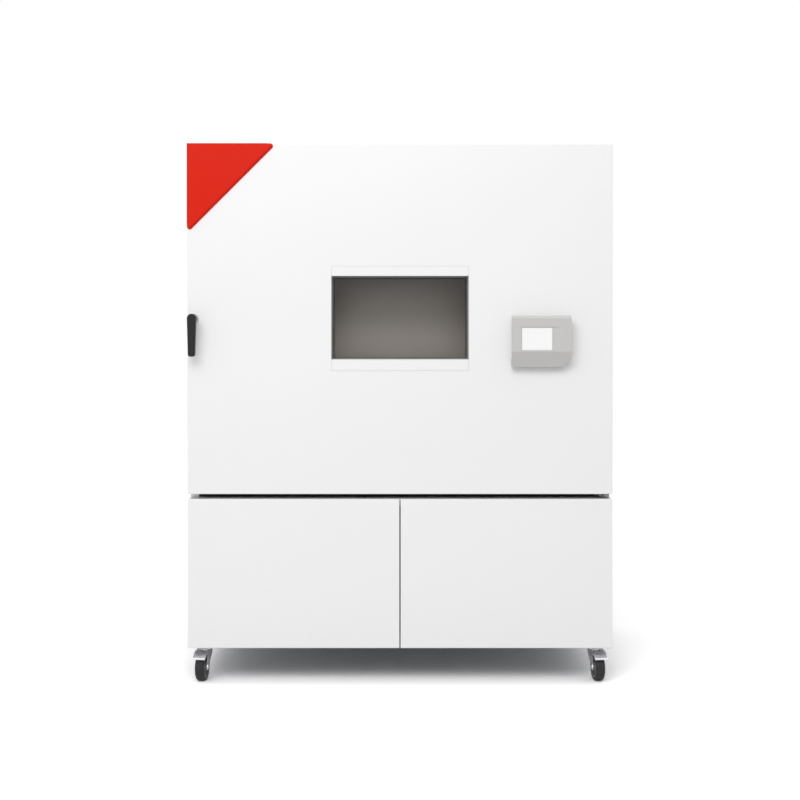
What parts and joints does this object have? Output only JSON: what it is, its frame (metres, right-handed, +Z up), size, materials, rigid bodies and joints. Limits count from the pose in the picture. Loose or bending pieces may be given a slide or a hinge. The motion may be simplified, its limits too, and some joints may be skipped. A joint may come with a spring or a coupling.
{
  "type": "environmental test chamber",
  "caption": "Floor-standing climatic test cabinet on swivel casters, with an insulated windowed door, a lever latch, a touch controller and service doors over its cooling plant.",
  "frame": {"origin": "on the floor, in the middle of the overall footprint, under the wheels", "axes": "+Z up, +X to the right of someone facing the door, the door faces -Y"},
  "size_m": [1.628, 1.129, 2.0068],
  "materials": {
    "white_coat": "smooth satin powder coat, white",
    "white_door_coat": "smooth satin powder coat, white",
    "red_coat": "semi-gloss red paint",
    "grey_coat": "fine-grained grey powder coat",
    "black_coat": "satin black paint",
    "galvanised": "matte zinc-plated steel",
    "zinc_bright": "bright zinc plate",
    "stainless": "fine-brushed stainless steel",
    "foam": "rigid polyurethane foam",
    "silicone_grey": "soft silicone, matte grey",
    "silicone_white": "soft silicone, matte off-white",
    "glass": "clear glass",
    "lever_plastic": "fine matte black plastic",
    "control_plastic": "satin light grey plastic",
    "control_back": "satin mid grey plastic",
    "screen": "glossy display cover, pale",
    "tyre_rubber": "dark grey tread rubber",
    "aluminium_fin": "bare mill aluminium",
    "copper_tube": "bare copper tube",
    "black_plastic": "matte black plastic",
    "box_plastic": "light grey switchgear case",
    "brass_fitting": "turned brass"
  },
  "bodies": {
    "cabinet": {"base_frame": "grey_coat", "lower_side_left": "white_coat", "lower_side_right": "white_coat", "service_deck": "white_coat", "lower_rear_panel": "galvanised", "upper_casing": "white_coat", "upper_rear_panel": "galvanised", "front_frame": "stainless", "chamber_liner": "stainless", "body_insulation": "foam", "air_baffle": "stainless", "fan_motor": "black_coat", "evaporator": "aluminium_fin", "air_heater": "stainless", "shelf_rails": "stainless", "shelf": "stainless", "compressor": "black_coat", "condenser": "aluminium_fin", "fan_shroud": "galvanised", "electrical_box": "box_plastic", "refrigerant_pipes": "copper_tube", "latch_keeper": "zinc_bright", "hinge_brackets": "zinc_bright", "service_hinges": "zinc_bright", "drain_outlet": "brass_fitting", "power_gland": "black_plastic", "rear_screws": "zinc_bright", "caster_plates": "zinc_bright"},
    "door": {"door_skin": "white_door_coat", "door_core": "foam", "door_liner": "stainless", "door_gasket": "silicone_grey", "door_pivot_blocks": "zinc_bright", "window_frame": "stainless", "window_trims": "white_door_coat", "window_outer_pane": "glass", "window_inner_pane": "glass", "corner_plate": "red_coat", "handle_rosette": "control_back", "controller_housing": "control_back", "controller_bezel": "control_plastic", "touch_screen": "screen"},
    "lever": {"door_handle": "lever_plastic", "latch_cam": "zinc_bright"},
    "service_leaf_left": {"service_door_left": "white_door_coat"},
    "service_leaf_right": {"service_door_right": "white_door_coat"},
    "plug": {"port_plug": "silicone_white"},
    "air_fan": {"circulation_fan": "aluminium_fin"},
    "cooling_fan": {"condenser_fan": "black_plastic"},
    "switch_knob": {"main_switch": "black_plastic"},
    "fork_body_front_left": {"fork_front_left": "zinc_bright"},
    "wheel_body_front_left": {"wheel_front_left": "tyre_rubber"},
    "pedal_left": {"brake_pedal_left": "zinc_bright"},
    "fork_body_front_right": {"fork_front_right": "zinc_bright"},
    "wheel_body_front_right": {"wheel_front_right": "tyre_rubber"},
    "pedal_right": {"brake_pedal_right": "zinc_bright"},
    "fork_body_rear_left": {"fork_rear_left": "zinc_bright"},
    "wheel_body_rear_left": {"wheel_rear_left": "tyre_rubber"},
    "fork_body_rear_right": {"fork_rear_right": "zinc_bright"},
    "wheel_body_rear_right": {"wheel_rear_right": "tyre_rubber"}
  },
  "joints": [
    {"name": "door_swing", "type": "hinge", "parent": "cabinet", "child": "door", "pos_m": [0.77, -0.4575, 1.354], "axis": [0, 0, 1], "range_deg": [0, 110]},
    {"name": "handle_turn", "type": "hinge", "parent": "door", "child": "lever", "pos_m": [-0.767, -0.5025, 1.356], "axis": [0, -1, 0], "range_deg": [0, 90]},
    {"name": "service_door_left_swing", "type": "hinge", "parent": "cabinet", "child": "service_leaf_left", "pos_m": [-0.78, -0.4905, 0.407], "axis": [0, 0, -1], "range_deg": [0, 105]},
    {"name": "service_door_right_swing", "type": "hinge", "parent": "cabinet", "child": "service_leaf_right", "pos_m": [0.78, -0.4905, 0.407], "axis": [0, 0, 1], "range_deg": [0, 105]},
    {"name": "port_plug_slide", "type": "slide", "parent": "cabinet", "child": "plug", "axis": [-1, 0, 0], "range_m": [0, 0.24]},
    {"name": "circulation_fan_spin", "type": "hinge", "parent": "cabinet", "child": "air_fan", "pos_m": [0, 0.2875, 1.724], "axis": [0, -1, 0], "continuous": true},
    {"name": "condenser_fan_spin", "type": "hinge", "parent": "cabinet", "child": "cooling_fan", "pos_m": [0.38, 0.364, 0.408], "axis": [0, -1, 0], "continuous": true},
    {"name": "main_switch_turn", "type": "hinge", "parent": "cabinet", "child": "switch_knob", "pos_m": [0.79, -0.33, 0.51], "axis": [1, 0, 0], "range_deg": [0, 90]},
    {"name": "front_left_swivel", "type": "hinge", "parent": "cabinet", "child": "fork_body_front_left", "pos_m": [-0.737, -0.414, 0.11], "axis": [0, 0, 1], "continuous": true},
    {"name": "front_left_wheel_spin", "type": "hinge", "parent": "fork_body_front_left", "child": "wheel_body_front_left", "pos_m": [-0.74187, -0.4537, 0.05], "axis": [0.9925, -0.1219, 0], "continuous": true},
    {"name": "front_left_brake_press", "type": "hinge", "parent": "fork_body_front_left", "child": "pedal_left", "pos_m": [-0.74017, -0.43981, 0.106], "axis": [0.9925, -0.1219, 0], "range_deg": [0, 6]},
    {"name": "front_right_swivel", "type": "hinge", "parent": "cabinet", "child": "fork_body_front_right", "pos_m": [0.737, -0.414, 0.11], "axis": [0, 0, 1], "continuous": true},
    {"name": "front_right_wheel_spin", "type": "hinge", "parent": "fork_body_front_right", "child": "wheel_body_front_right", "pos_m": [0.74187, -0.4537, 0.05], "axis": [0.9925, 0.1219, 0], "continuous": true},
    {"name": "front_right_brake_press", "type": "hinge", "parent": "fork_body_front_right", "child": "pedal_right", "pos_m": [0.74017, -0.43981, 0.106], "axis": [0.9925, 0.1219, 0], "range_deg": [0, 6]},
    {"name": "rear_left_swivel", "type": "hinge", "parent": "cabinet", "child": "fork_body_rear_left", "pos_m": [-0.737, 0.41, 0.11], "axis": [0, 0, 1], "continuous": true},
    {"name": "rear_left_wheel_spin", "type": "hinge", "parent": "fork_body_rear_left", "child": "wheel_body_rear_left", "pos_m": [-0.737, 0.37, 0.05], "axis": [1, 0, 0], "continuous": true},
    {"name": "rear_right_swivel", "type": "hinge", "parent": "cabinet", "child": "fork_body_rear_right", "pos_m": [0.737, 0.41, 0.11], "axis": [0, 0, 1], "continuous": true},
    {"name": "rear_right_wheel_spin", "type": "hinge", "parent": "fork_body_rear_right", "child": "wheel_body_rear_right", "pos_m": [0.737, 0.37, 0.05], "axis": [1, 0, 0], "continuous": true}
  ]
}
